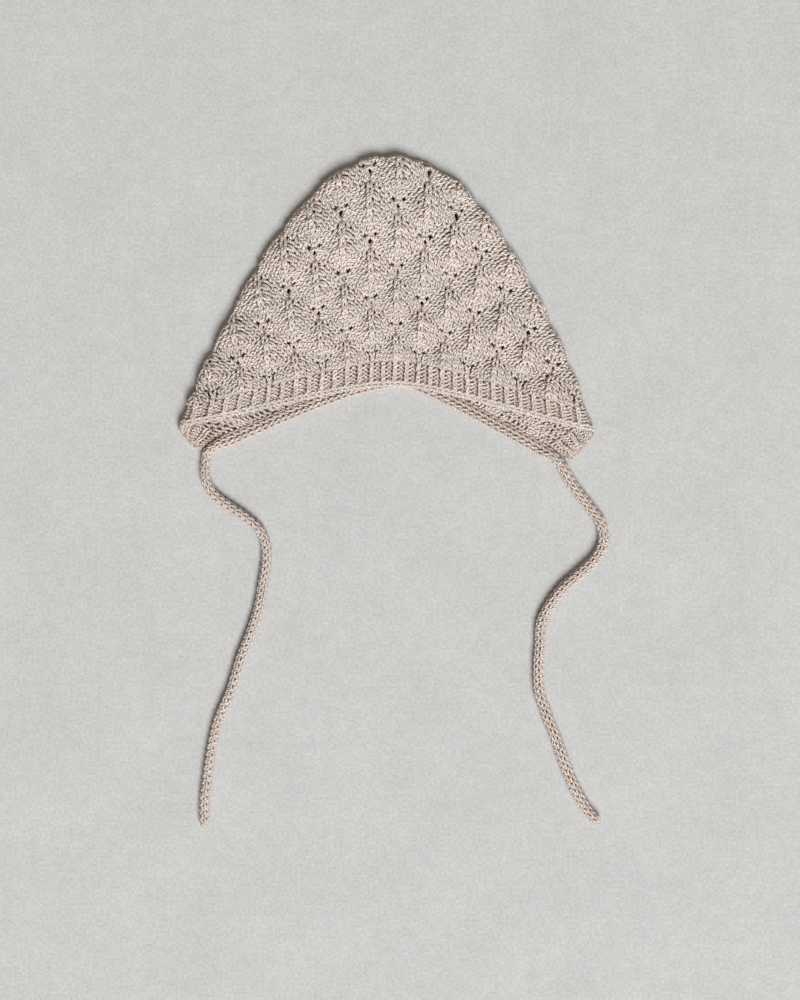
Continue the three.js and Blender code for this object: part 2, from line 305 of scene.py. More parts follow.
def fold_table(side):
    """The stitch at which each row goes over the fold, for a fine series of rows."""
    rows = np.linspace(0, TIP_ROW, FOLD_ROWS)
    inside = np.zeros_like(rows)
    outside = np.full_like(rows, FAR_STITCH)
    for _ in range(FOLD_STEPS):
        middle = (inside + outside) / 2
        x, y = flat_place(side * middle, rows)
        within = TIP_Y - x * x / OUTLINE_SPREAD > y
        inside = np.where(within, middle, inside)
        outside = np.where(within, outside, middle)
    return rows, inside


FOLD_TABLES = {-1: fold_table(-1), 1: fold_table(1)}


def neck_edge(share):
    """A point of the neck edge: -1 at the left corner, 0 at the seam, 1 at the right corner."""
    left = share < 0
    reach = np.where(left, NECK_LEFT["x"] - NECK_X, NECK_RIGHT["x"] - NECK_X) * np.abs(share)
    fall_left = roof(reach, NECK_LEFT["slope"], NECK_LEFT["rounding"])
    fall_right = roof(reach, NECK_RIGHT["slope"], NECK_RIGHT["rounding"])
    return NECK_X + reach, NECK_Y - np.where(left, fall_left, fall_right)


def underside_place(stitch, row):
    """Where the strip lies on the underside: spread evenly from the fold to the neck edge."""
    side = np.where(stitch < 0, -1.0, 1.0)
    at_fold = np.where(side < 0, np.interp(row, *FOLD_TABLES[-1]), np.interp(row, *FOLD_TABLES[1]))
    at_fold = np.where(row >= TIP_ROW, 0, at_fold)
    x, y = flat_place(side * at_fold, row)
    y = np.where(row >= TIP_ROW, TIP_Y - np.maximum(0, y - TIP_Y), y)
    reach = np.where(side > 0, CORNER_REACH, 1)
    end_x, end_y = neck_edge(side * reach * (1 - row / SEAM_ROW))
    share = np.clip((np.abs(stitch) - at_fold) / (EDGE_STITCH - at_fold), 0, PAST_NECK_EDGE)
    return x + share * (end_x - x), y + share * (end_y - y)


def wall_middle(stitch, row):
    """The middle of the knitted wall, folded and lofted, and the distance past the outline."""
    near_x, near_y, out_x, out_y, past = outline_near(*flat_place(stitch, row))
    bent = np.where(past > 0, ROUND_FOLD * np.tanh(past / ROUND_FOLD), past)
    inward = np.abs(bent) * np.tanh(np.abs(bent) / (2 * FOLD_RADIUS))
    x = near_x - out_x * inward
    y = near_y - out_y * inward
    lying = 1 - (1 - smoothstep(*LYING, past)) * (1 - smoothstep(TIP_ROW, SEAM_ROW, row))
    lying = np.where(past > 0, lying, 0)
    under_x, under_y = underside_place(stitch, row)
    x = x + lying * (under_x - x)
    y = y + lying * (under_y - y)
    arc = FOLD_RADIUS * np.sqrt(1 - np.clip(1 - inward / FOLD_RADIUS, 0, 1) ** 2)
    face_share = LOFT_AT_FACE + (1 - LOFT_AT_FACE) * smoothstep(0, LOFT_ROWS, row)
    loft = LOFT * face_share * (1 - np.exp(-((inward / LOFT_REACH) ** 2)))
    z = FOLD_RADIUS + WALL / 2 + np.where(past > 0, -arc, arc + loft)
    return np.stack([x, y, z], -1), past


def placed(points):
    """Points of the bonnet's own frame, turned and moved to where it lies."""
    turn = np.array([[math.cos(LEAN), -math.sin(LEAN)], [math.sin(LEAN), math.cos(LEAN)]])
    flat = points[..., :2] @ turn.T + PLACE
    return np.concatenate([flat, points[..., 2:]], -1)


def unit(vectors):
    """Vectors scaled to length 1."""
    return vectors / np.maximum(np.linalg.norm(vectors, axis=-1, keepdims=True), 1e-12)


def on_wall(stitch, row, height):
    """Points that stand a height off the middle of the wall, and the wall's outward direction."""
    point, past = wall_middle(stitch, row)
    step = 0.3
    across = wall_middle(stitch + step, row)[0] - wall_middle(stitch - step, row)[0]
    along = wall_middle(stitch, row + step)[0] - wall_middle(stitch, row - step)[0]
    out = unit(np.cross(across, along))
    out[past > 2 * FOLD_RADIUS] = (0, 0, -1)
    wale = stitch / LEAF_STITCHES
    course = row / LEAF_ROWS
    puff = np.abs(np.sin(math.pi * (wale + course)) * np.sin(math.pi * (wale - course)))
    edge = smoothstep(*OUTLINE_ZONE, past)
    relief = LEAF_HEIGHT * (1 + OUTLINE_LEAF * edge) * puff ** LEAF_POWER - OUTLINE_VALLEY * edge
    relief = relief * (1 - smoothstep(0, RELIEF_END, past))
    relief = relief + spine(stitch, row) * (1 - edge)
    relief = relief * smoothstep(BAND_ROWS - 1, BAND_ROWS + 1, row)
    point = point + out * (height + relief)[..., None]
    point[..., 2] = np.maximum(point[..., 2], LOWEST_YARN)
    return placed(point), unit(placed(point + out) - placed(point))


def spine(stitch, row):
    """The raised wale below each meeting point of four leaves, where stitches are drawn in."""
    half_leaf = LEAF_STITCHES / 2
    shift = np.where((row - BAND_ROWS) % LEAF_ROWS < LEAF_ROWS / 2, 0, half_leaf)
    aside = (stitch - shift + half_leaf) % LEAF_STITCHES - half_leaf
    step = (row - BAND_ROWS) % (LEAF_ROWS / 2)
    length = smoothstep(*SPINE_START, step) * (1 - smoothstep(*SPINE_END, step))
    return SPINE_HEIGHT * np.exp(-((aside / SPINE_HALF) ** 2)) * length


def chart(row):
    """For each stitch of a row: its kind and the stitch of the row below that it is worked in."""
    stitches = np.arange(-EDGE_STITCH, EDGE_STITCH + 1)
    kind = np.full(stitches.size, KNIT)
    parent = stitches.astype(float)
    block, step = divmod(row - BAND_ROWS, LEAF_ROWS // 2)
    if row >= BAND_ROWS and step % 2 == 0:
        half_leaf = LEAF_STITCHES // 2
        shift = half_leaf if block % 2 == 0 else 0
        column = (stitches - shift) % LEAF_STITCHES
        beside_axis = (column == 1) | (column == LEAF_STITCHES - 1)
        if step == 0:
            kind[column == 0] = YARN_OVER
        elif step == 2:
            kind[beside_axis] = YARN_OVER
        kind[column == half_leaf] = TRIPLE
        parent[(column > 0) & (column < half_leaf)] -= 1
        parent[column > half_leaf] += 1
        plain = np.abs(stitches) > PLAIN_FROM
        kind[plain] = KNIT
        parent[plain] = stitches[plain]
    return kind, np.clip(parent, -EDGE_STITCH, EDGE_STITCH)


def settled_repeat():
    """How far the stitches of one lace repeat slide from even places, in stitches and rows."""
    size = np.array(STITCH_SIZE)
    wide, tall = LEAF_STITCHES, LEAF_ROWS
    middle = EDGE_STITCH
    pairs = []
    for row in range(tall):
        kind, parent = chart(BAND_ROWS + tall + row)
        for stitch in range(wide):
            at = (stitch, row)
            beside_hole = YARN_OVER in (kind[middle + stitch], kind[middle + stitch + 1])
            hole = LOWER_HOLE if row % (LEAF_ROWS // 2) == 0 else UPPER_HOLES
            pairs.append((at, (stitch + 1, row), size[0] * (hole if beside_hole else 1)))
            below = int(parent[middle + stitch])
            if kind[middle + stitch] == YARN_OVER:
                continue
            if kind[middle + stitch] == TRIPLE:
                pairs += [(at, (below + step, row - 1), size[1]) for step in (-1, 0, 1)]
                continue
            pairs.append((at, (below, row - 1), size[1]))
            pairs += [(at, (below + step, row - 1), math.hypot(*size)) for step in (-1, 1)]
    ends = np.array([[a, b] for a, b, _ in pairs])
    rest = np.array([length for _, _, length in pairs])
    home = ends % (wide, tall)
    lap = (ends - home) * size
    index = home[..., 1] * wide + home[..., 0]
    place = np.stack(np.meshgrid(np.arange(wide), np.arange(tall)), -1).reshape(-1, 2) * size
    start = place.copy()
    for _ in range(SETTLE_STEPS):
        between = place[index[:, 1]] + lap[:, 1] - place[index[:, 0]] - lap[:, 0]
        length = np.linalg.norm(between, axis=-1)
        pull = between * ((length - PULLED_IN * rest) / length / 2)[:, None]
        move = np.zeros_like(place)
        np.add.at(move, index[:, 0], pull)
        np.add.at(move, index[:, 1], -pull)
        place = place + SETTLE_EASE * move
    slide = (place - start) / size
    return (slide - slide.mean(0)).reshape(tall, wide, 2)


def opened(flat, slide):
    """Places moved clear of the hole that the lower yarn-over of each leaf leaves."""
    half_leaf, half_rows = LEAF_STITCHES // 2, LEAF_ROWS // 2
    stitch, row = flat[..., 0], flat[..., 1]
    first = BAND_ROWS + 0.5 + slide[0, half_leaf, 1] + HOLE_BELOW
    block = np.round((row - first) / half_rows)
    shift = np.where(block % 2 == 0, half_leaf, 0)
    aside = (stitch - shift + half_leaf) % LEAF_STITCHES - half_leaf
    above = row - first - block * half_rows
    far = np.hypot(aside * STITCH_SIZE[0], above * STITCH_SIZE[1])
    far = np.maximum(far, LEAST_DISTANCE)
    column = np.round((stitch - shift) / LEAF_STITCHES)
    variety = np.abs(np.sin(HOLE_SHUFFLE[0] * block + HOLE_SHUFFLE[1] * column))
    radius = HOLE_RADIUS * (HOLE_LEAST + HOLE_VARIETY * variety + HOLE_GROWTH * row)
    push = (np.hypot(far, radius) / far - 1) * np.exp(-((far / HOLE_REACH) ** 2))
    push = push * (block >= 1) * (np.abs(stitch) < PLAIN_FROM) * (row < TIP_ROW)
    return flat + push[..., None] * np.stack([aside, above], -1)


def stitch_places(chance, slide):
    """The middle of every stitch of every row, as (stitch, row)."""
    stitches = np.arange(-EDGE_STITCH, EDGE_STITCH + 1)
    places = {}
    for row in range(-1, SEAM_ROW + 1):
        share = smoothstep(BAND_ROWS - 1, BAND_ROWS + 3, row)
        share = share * (1 - smoothstep(TIP_ROW, SEAM_ROW, row))
        settled_by = slide[(row - BAND_ROWS) % LEAF_ROWS, stitches % LEAF_STITCHES] * share
        uneven = chance.normal(0, UNEVEN, (stitches.size, 2))
        places[row] = np.stack([stitches, np.full(stitches.size, row + 0.5)], -1) + settled_by + uneven
    return places


def course_steps(places):
    """The steps to each stitch from the one on its left and from it to the one on its right."""
    left = np.diff(places, axis=0, prepend=places[:1] - (1, 0))
    right = np.diff(places, axis=0, append=places[-1:] + (1, 0))
    return left, right


def knitted_rows(first, last, yarn_depth):
    """The yarn's line through rows of the strip: stitch, row, height and the height that sets its
    painted shade.
    """
    width = 2 * EDGE_STITCH + 1
    chance = np.random.default_rng(SEED)
    slide = settled_repeat()
    places = stitch_places(chance, slide)
    looseness = chance.normal(1, LOOSENESS, (SEAM_ROW + 1, width))
    phase = np.arange(LOOP_STEPS) / LOOP_STEPS
    turn = 2 * math.pi * phase
    rise = (1 - np.cos(turn)) / 2
    lines = []
    for row in range(first, last + 1):
        here = places[row]
        kind, parent = chart(row)
        below = places[row - 1][parent.astype(int) + EDGE_STITCH]
        above = here + (0, 1)
        lift = np.zeros(width)
        if row + 1 < SEAM_ROW:
            kind_above, parent_above = chart(row + 1)
            reached = np.zeros((width, 3))
            for child in np.flatnonzero(kind_above != YARN_OVER):
                spread = (-1, 0, 1) if kind_above[child] == TRIPLE else (0,)
                for step in spread:
                    taken = int(parent_above[child]) + EDGE_STITCH + step
                    if 0 <= taken < width:
                        reached[taken] += (*places[row + 1][child], 1)
                        if kind_above[child] == TRIPLE:
                            lift[taken] = TRIPLE_LIFT if step == 0 else TRIPLE_SINK
            held = reached[:, 2] > 0
            above[held] = reached[held, :2] / reached[held, 2:]
        down = here + LOOP_HALF * (below - here)
        up = here + LOOP_HALF * (above - here)
        yarn_over = kind == YARN_OVER
        down[yarn_over] = here[yarn_over]
        down[yarn_over, 1] += chance.uniform(0, YARN_OVER_SAG, yarn_over.sum())
        purl = (row < BAND_ROWS) & (np.arange(-EDGE_STITCH, EDGE_STITCH + 1) % 2 == 1)
        narrow = np.where(yarn_over, YARN_OVER_NARROW, np.where(purl, PURL_NARROW, LOOP_NARROW))
        narrow = narrow * looseness[row]
        foot_left, foot_right = course_steps(down)
        head_left, head_right = course_steps(here)
        head_width = np.where(lift == 0, RIB_HEAD if row < BAND_ROWS else 1, TRIPLE_HEAD)[:, None]
        in_spine = spine(here[:, 0], np.full(width, row + 0.5)) > SPINE_FROM * SPINE_HEIGHT
        # A parabola through the stitch's foot, middle and head
        share = rise[None, :, None]
        axis = down[:, None] * (1 - share) * (1 - 2 * share) + here[:, None] * 4 * share * (1 - share)
        axis = axis + up[:, None] * share * (2 * share - 1)
        first_half = phase[None, :, None] < 0.5
        foot = np.where(first_half, foot_left[:, None], foot_right[:, None])
        head = np.where(first_half, head_left[:, None], head_right[:, None]) * head_width[:, None]
        sway = phase[None, :] - 0.5 + narrow[:, None] * np.sin(2 * turn)[None, :]
        pinch = np.where(in_spine, SPINE_PINCH, RIB_PINCH if row < BAND_ROWS else 0)
        sway = sway * (1 - np.sin(turn / 2) ** 2 * pinch[:, None])
        flat = opened(axis + sway[..., None] * (foot * (1 - share) + head * share), slide)
        front = np.where(purl, -1.0, 1.0) * looseness[row]
        swing = -yarn_depth * np.cos(2 * turn)[None, :] * front[:, None]
        height = swing + lift[:, None] * rise[None, :]
        if row < BAND_ROWS:
            height = height + np.where(purl, -RIB_DEPTH, RIB_DEPTH)[:, None]
        # The height that sets the painted shade between the loops; in the spine it is spread so the
        # stitches are painted paler, a painted highlight
        painted_shade_height = swing * np.where(in_spine, SPINE_HIGHLIGHT, 1)[:, None]
        line = np.concatenate([flat, height[..., None], painted_shade_height[..., None]], -1).reshape(-1, 4)
        lines.append(line)
    return lines


def yarn_tube(name, strands, material, sides=6):
    """One mesh of yarn along strands, each with its points, outward directions, height for the painted
    shade and radius.
    """
    turn = 2 * math.pi * (np.arange(sides) + 0.5) / sides
    vertices, quads, ends, shade_heights, lengths, tints = [], [], [], [], [], []
    chance = np.random.default_rng(SEED)
    offset = 0
    for points, outs, height, radius in strands:
        count = len(points)
        ahead = unit(np.gradient(points, axis=0))
        up = unit(outs - ahead * np.sum(outs * ahead, -1, keepdims=True))
        side = np.cross(ahead, up)
        ring = side[:, None] * np.cos(turn)[:, None] + up[:, None] * np.sin(turn)[:, None]
        knots = np.arange(0, count + KNOT_POINTS, KNOT_POINTS)
        girth = chance.normal(1, GIRTH_VARIETY, knots.size)
        girth = radius * np.interp(np.arange(count), knots, girth)
        vertices.append((points[:, None] + girth[:, None, None] * ring).reshape(-1, 3))
        ring_start = offset + sides * np.arange(count - 1)[:, None]
        k = np.arange(sides)[None]
        after = (k + 1) % sides
        quads.append(np.stack([ring_start + k, ring_start + sides + k,
                               ring_start + sides + after, ring_start + after], -1).reshape(-1, 4))
        ends.append(offset + np.arange(sides))
        ends.append(offset + sides * (count - 1) + np.arange(sides)[::-1])
        run = np.concatenate([[0], np.cumsum(np.linalg.norm(np.diff(points, axis=0), axis=-1))])
        lengths.append(np.repeat(run, sides))
        # The painted shade's height, from the strand's height and its place round the tube
        shade_heights.append((height[:, None] + radius * np.sin(turn)[None]).reshape(-1))
        tints.append(np.full(count * sides, chance.random()))
        offset += count * sides
    vertices = np.concatenate(vertices)
    quads = np.concatenate(quads)
    ends = np.array(ends)
    corners = np.concatenate([quads.reshape(-1), ends.reshape(-1)])
    starts = np.concatenate([4 * np.arange(len(quads)), 4 * len(quads) + sides * np.arange(len(ends))])
    mesh = bpy.data.meshes.new(name)
    mesh.vertices.add(len(vertices))
    mesh.vertices.foreach_set("co", vertices.ravel())
    mesh.loops.add(len(corners))
    mesh.loops.foreach_set("vertex_index", corners.astype(np.int32))
    mesh.polygons.add(len(starts))
    mesh.polygons.foreach_set("loop_start", starts.astype(np.int32))
    mesh.polygons.foreach_set("use_smooth", np.ones(len(starts), bool))
    around = np.concatenate([
        (np.tile([[0, 0, 1, 1]], (len(quads), 1))
         + (np.arange(len(quads)) % sides)[:, None]).reshape(-1) / sides,
        np.zeros(ends.size),
    ])
    along = np.concatenate(lengths)[corners]
    layer = mesh.uv_layers.new(name="yarn")
    layer.data.foreach_set("uv", np.stack([along * CM_PER_M, around], -1).astype(np.float32).ravel())
    # The attributes: the height that sets the painted shade, and a random tint for each strand
    for label, values in (("height", shade_heights), ("tint", tints)):
        attribute = mesh.attributes.new(label, "FLOAT", "POINT")
        attribute.data.foreach_set("value", np.concatenate(values).astype(np.float32))
    mesh.update(calc_edges=True)
    mesh.validate()
    mesh.materials.append(material)
    piece = bpy.data.objects.new(name, mesh)
    bpy.context.scene.collection.objects.link(piece)
    return piece


def smooth_route(points, spacing):
    """A smooth line through points, its places spaced evenly."""
    points = np.asarray(points, float)
    knots = np.concatenate([[0], np.cumsum(np.hypot(*np.diff(points[:, :2], axis=0).T))])
    slopes = np.gradient(points, knots, axis=0)
    fine = np.linspace(0, knots[-1], ROUTE_FINE * len(points))
    cell = np.clip(np.searchsorted(knots, fine, side="right") - 1, 0, len(knots) - 2)
    span = (knots[cell + 1] - knots[cell])[:, None]
    t = ((fine - knots[cell])[:, None]) / span
    line = ((1 + 2 * t) * (1 - t) ** 2 * points[cell] + t * (1 - t) ** 2 * span * slopes[cell]
            + t * t * (3 - 2 * t) * points[cell + 1] + t * t * (t - 1) * span * slopes[cell + 1])
    run = np.concatenate([[0], np.cumsum(np.hypot(*np.diff(line[:, :2], axis=0).T))])
    count = max(2, int(round(run[-1] / spacing)) + 1)
    even = np.linspace(0, run[-1], count)
    return np.stack([np.interp(even, run, column) for column in line.T], -1)


def cord_line():
    """The whole cord on the table, from the left tie's end round the neck to the right tie's."""
    x, y = neck_edge(np.linspace(NECK_FROM, NECK_TO, NECK_POINTS))
    edge = np.stack([x, y], -1)
    along = unit(np.gradient(edge, axis=0))
    edge = edge + (NECK_CORD_WIDTH / 2) * np.stack([along[:, 1], -along[:, 0]], -1)
    neck = np.concatenate([[NECK_TURN_LEFT], edge, [NECK_TURN_RIGHT]])
    neck = placed(np.concatenate([neck, np.zeros((len(neck), 1))], -1))[:, :2]
    route = np.concatenate([TIE_LEFT[::-1], neck, TIE_RIGHT])
    in_neck = np.zeros(len(route))
    in_neck[len(TIE_LEFT) + 2:-len(TIE_RIGHT) - 2] = 1
    wide = TIE_DIAMETER + (NECK_CORD_WIDTH - TIE_DIAMETER) * in_neck
    wide[-len(TIE_RIGHT):] = TIE_RIGHT_WIDTH
    tall = TIE_DIAMETER + (NECK_CORD_HEIGHT - TIE_DIAMETER) * in_neck
    line = smooth_route(np.column_stack([route, wide, tall]), ROUTE_SPACING)
    ends = [int(np.argmin(np.hypot(*(line[:, :2] - end).T))) for end in (TIE_LEFT[0], TIE_RIGHT[0])]
    return line, ends


def knitted_cord(line, ends, first, last, sizes):
    """The strand of the cord's stitches between two places of its line."""
    yarn_radius, yarn_depth = sizes.yarn_width / 2 * CORD_YARN, sizes.yarn_depth
    run = np.concatenate([[0], np.cumsum(np.hypot(*np.diff(line[:, :2], axis=0).T))])
    rounds = run / CORD_ROUND
    stitch = np.arange(math.ceil(rounds[first] * CORD_WALES), math.ceil(rounds[last] * CORD_WALES))
    phase = np.arange(LOOP_STEPS) / LOOP_STEPS
    turn = 2 * math.pi * phase
    sway = phase - 0.5 + CORD_NARROW * np.sin(2 * turn)
    place = (stitch[:, None] + sway[None]).reshape(-1)
    level = (stitch[:, None] / CORD_WALES - CORD_HALF * np.cos(turn)[None]).reshape(-1)
    swing = np.tile(-yarn_depth * np.cos(2 * turn), stitch.size)
    along = np.clip(level * CORD_ROUND, 0, run[-1])
    ahead = unit(np.gradient(line[:, :2], axis=0))
    x, y, wide, tall = (np.interp(along, run, column) for column in line.T)
    forward = unit(np.stack([np.interp(along, run, column) for column in ahead.T], -1))
    across = np.stack([forward[:, 1], -forward[:, 0]], -1)
    neck_start, neck_end = run[ends[0]], run[ends[1]]
    in_tie = np.maximum(0, along - neck_end) - np.maximum(0, neck_start - along)
    angle = 2 * math.pi * ((place + 0.5) / CORD_WALES + CORD_START) + CORD_TWIST * in_tie
    from_end = np.minimum(along, run[-1] - along) / (TIE_DIAMETER / 2)
    narrowing = np.sqrt(np.clip(1 - np.clip(1 - from_end, 0, 1) ** 2, CORD_END ** 2, 1))
    out_wide = (wide / 2 - yarn_radius - yarn_depth + swing) * narrowing
    out_tall = (tall / 2 - yarn_radius - yarn_depth + swing) * narrowing
    flat = np.stack([x, y], -1) + across * (np.cos(angle) * out_wide)[:, None]
    points = np.column_stack([flat, tall / 2 + np.sin(angle) * out_tall])
    outs = unit(np.column_stack([across * np.cos(angle)[:, None], np.sin(angle)]))
    # The cord's swing also sets its painted shade
    return points, outs, swing, yarn_radius


def chain_links(yarn_depth, yarn_radius):
    """The bound-off edge: one link for each stitch, lying along the face edge."""
    phase = np.linspace(LINK_GAP, 1 - LINK_GAP, LINK_STEPS)
    turn = 2 * math.pi * phase
    rise = (1 - np.cos(turn)) / 2
    sway = phase - 0.5 + LINK_NARROW * np.sin(2 * turn)
    strands = []
    for stitch in range(-EDGE_STITCH, EDGE_STITCH):
        along = stitch + 0.5 + LINK_HALF * (2 * rise - 1)
        row = LINK_ROW - LINK_WIDTH * sway
        swing = -yarn_depth * np.cos(2 * turn)
        # The links are painted paler through their painted shade height, a painted highlight
        strands.append((*on_wall(along, row, swing + LINK_LIFT), LINK_HIGHLIGHT * swing, yarn_radius))
    return strands


def wool(name, sizes):
    """Undyed wool: its plies twist round the strand, with painted shade in the grooves between them,
    and painted shade, warmer and darker, in the hollows between its loops.
    """
    material = bpy.data.materials.new(name)
    material.use_nodes = True
    nodes, links = material.node_tree.nodes, material.node_tree.links
    shader = nodes["Principled BSDF"]
    shader.inputs["Roughness"].default_value = 0.85
    shader.inputs["Sheen Weight"].default_value = 0.06
    shader.inputs["Sheen Roughness"].default_value = 0.5
    shader.inputs["Sheen Tint"].default_value = (1.0, 0.95, 0.9, 1.0)
    shader.inputs["Specular IOR Level"].default_value = 0.12

    def calculate(operation, *values):
        """A maths node whose inputs are numbers or other nodes' outputs."""
        node = nodes.new("ShaderNodeMath")
        node.operation = operation
        for socket, value in zip(node.inputs, values):
            if isinstance(value, (int, float)):
                socket.default_value = value
            else:
                links.new(value, socket)
        return node.outputs[0]

    def noise(vector, scale, detail):
        """A noise node's grey output."""
        node = nodes.new("ShaderNodeTexNoise")
        node.inputs["Scale"].default_value = scale
        node.inputs["Detail"].default_value = detail
        links.new(vector, node.inputs["Vector"])
        return node.outputs["Fac"]

    def ramp(value, old_range, new_range):
        """A value carried from one range to another."""
        node = nodes.new("ShaderNodeMapRange")
        labels = ("From Min", "From Max", "To Min", "To Max")
        for label, number in zip(labels, old_range + new_range):
            node.inputs[label].default_value = number
        links.new(value, node.inputs["Value"])
        return node.outputs["Result"]

    yarn = nodes.new("ShaderNodeUVMap")
    yarn.uv_map = "yarn"
    place = nodes.new("ShaderNodeSeparateXYZ")
    links.new(yarn.outputs["UV"], place.inputs[0])
    body = nodes.new("ShaderNodeTexCoord").outputs["Object"]
    fibre = noise(body, *FIBRES)
    turns = calculate("MULTIPLY_ADD", place.outputs["X"], sizes.turns_per_cm, place.outputs["Y"])
    wander = calculate("MULTIPLY_ADD", noise(body, *WANDER), WANDER_TURNS, turns)
    plies = calculate("SINE", calculate("MULTIPLY", wander, 2 * math.pi * sizes.plies))
    bump = nodes.new("ShaderNodeBump")
    bump.inputs["Strength"].default_value = 0.9
    bump.inputs["Distance"].default_value = 0.0003
    links.new(calculate("MULTIPLY_ADD", fibre, FIBRE_BUMP, plies), bump.inputs["Height"])
    links.new(bump.outputs["Normal"], shader.inputs["Normal"])

    # Painted shade between the loops: near the wall's middle a strand is painted the darker, warmer
    # hollow shade, further off the wool colour
    height = nodes.new("ShaderNodeAttribute")
    height.attribute_name = "height"
    tone = nodes.new("ShaderNodeMix")
    tone.data_type = "RGBA"
    swing = calculate("ABSOLUTE", height.outputs["Fac"])
    links.new(ramp(swing, (HOLLOW_HEIGHT, FULL_HEIGHT), (0, 1)), tone.inputs["Factor"])
    tone.inputs["A"].default_value = (*sizes.hollow_shade_colour, 1)
    tone.inputs["B"].default_value = (*sizes.wool_colour, 1)
    # Painted shade in the grooves between the plies, times random tone from the fibres, the strands'
    # tints and the patches
    shade = ramp(plies, PLY_RANGE, PAINTED_PLY_SHADE)
    shade = calculate("MULTIPLY", shade, ramp(fibre, NOISE_RANGE, FIBRE_SHADE))
    tint = nodes.new("ShaderNodeAttribute")
    tint.attribute_name = "tint"
    shade = calculate("MULTIPLY", shade, ramp(tint.outputs["Fac"], (0, 1), SLIGHT_SHADE))
    shade = calculate("MULTIPLY", shade, ramp(noise(body, *PATCHES), NOISE_RANGE, SLIGHT_SHADE))
    colour = nodes.new("ShaderNodeMix")
    colour.data_type = "RGBA"
    colour.blend_type = "MULTIPLY"
    colour.inputs["Factor"].default_value = 1
    links.new(tone.outputs["Result"], colour.inputs["A"])
    links.new(shade, colour.inputs["B"])
    links.new(colour.outputs["Result"], shader.inputs["Base Color"])
    return material


def pale_paper(colour):
    """Matt grey paper with a faint mottle and fine grain."""
    material = bpy.data.materials.new("pale_paper")
    material.use_nodes = True
    nodes, links = material.node_tree.nodes, material.node_tree.links
    shader = nodes["Principled BSDF"]
    shader.inputs["Roughness"].default_value = 0.95
    shader.inputs["Specular IOR Level"].default_value = 0.05
    body = nodes.new("ShaderNodeTexCoord").outputs["Object"]
    previous = None
    for scale, detail, strength in MOTTLE:
        grain = nodes.new("ShaderNodeTexNoise")
        grain.inputs["Scale"].default_value = scale
        grain.inputs["Detail"].default_value = detail
        links.new(body, grain.inputs["Vector"])
        level = nodes.new("ShaderNodeMapRange")
        level.inputs["From Min"].default_value = NOISE_RANGE[0]
        level.inputs["From Max"].default_value = NOISE_RANGE[1]
        level.inputs["To Min"].default_value = 1 - strength
        level.inputs["To Max"].default_value = 1 + strength
        links.new(grain.outputs["Fac"], level.inputs["Value"])
        blend = nodes.new("ShaderNodeMix")
        blend.data_type = "RGBA"
        blend.blend_type = "MULTIPLY"
        blend.inputs["Factor"].default_value = 1
        blend.inputs["A"].default_value = (*colour, 1)
        if previous is not None:
            links.new(previous, blend.inputs["A"])
        links.new(level.outputs["Result"], blend.inputs["B"])
        previous = blend.outputs["Result"]
    links.new(previous, shader.inputs["Base Color"])
    return material


class BonnetSizes(PropertyGroup):
    """The sizes and colours of the bonnet's wool."""

    yarn_width: FloatProperty(
        name="Yarn width", description="Width of a strand where it is knitted",
        default=0.0018, min=0.0008, max=0.003, unit="LENGTH", precision=4)
    yarn_depth: FloatProperty(
        name="Stitch depth", description="How far a loop swings to the front and back",
        default=0.0007, min=0.0002, max=0.002, unit="LENGTH", precision=4)
    turns_per_cm: FloatProperty(
        name="Twist", description="Turns of the plies in a centimetre of yarn",
        default=1.9, min=0, max=10)
    plies: FloatProperty(
        name="Plies", description="How many plies the yarn has",
        default=3, min=1, max=8)
    wool_colour: FloatVectorProperty(
        name="Wool", description="Undyed wool where the light reaches it",
        default=(0.893, 0.786, 0.726), min=0, max=1, size=3, subtype="COLOR")
    # Painted shade: the darker, warmer colour painted on strands between the loops
    hollow_shade_colour: FloatVectorProperty(
        name="Hollows", description="The warmer tone between the loops",
        default=(0.545, 0.385, 0.297), min=0, max=1, size=3, subtype="COLOR")


class StageSizes(PropertyGroup):
    """The floor, the light and the camera."""

    floor_colour: FloatVectorProperty(
        name="Floor", description="Pale grey paper",
        default=(0.588, 0.586, 0.582), min=0, max=1, size=3, subtype="COLOR")
    key_energy: FloatProperty(
        name="Key light", description="Strength of the soft light from the lower right",
        default=1640, min=0, max=5000, unit="POWER")
    key_size: FloatProperty(
        name="Key size", description="Width of the soft light",
        default=6.5, min=0.1, max=12, unit="LENGTH")
    key_distance: FloatProperty(
        name="Key distance", description="How far off the soft light stands",
        default=12, min=1, max=20, unit="LENGTH")
    key_elevation: FloatProperty(
        name="Key elevation", description="How steeply the soft light falls",
        default=math.radians(50), min=0.1, max=1.57, unit="ROTATION")
    key_turn: FloatProperty(
        name="Key turn", description="How far the soft light stands to the right",
        default=math.radians(22), min=-3.2, max=3.2, unit="ROTATION")
    key_colour: FloatVectorProperty(
        name="Key colour", description="The soft light is faintly cool",
        default=(0.95, 0.985, 1.0), min=0, max=1, size=3, subtype="COLOR")
    sky_colour: FloatVectorProperty(
        name="Sky colour", description="The even light is warm, and fills the shadows",
        default=(1.0, 0.87, 0.75), min=0, max=1, size=3, subtype="COLOR")
    sky_strength: FloatProperty(
        name="Sky light", description="Strength of the even light from all round",
        default=0.235, min=0, max=5)
    camera_height: FloatProperty(
        name="Camera height", description="Height of the camera over the floor",
        default=1.667, min=0.3, max=5, unit="LENGTH")


def settled(piece, node):
    """Rides the piece on the bonnet's body and lets it stand for its node."""
    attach(piece, "root")
    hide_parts(node)


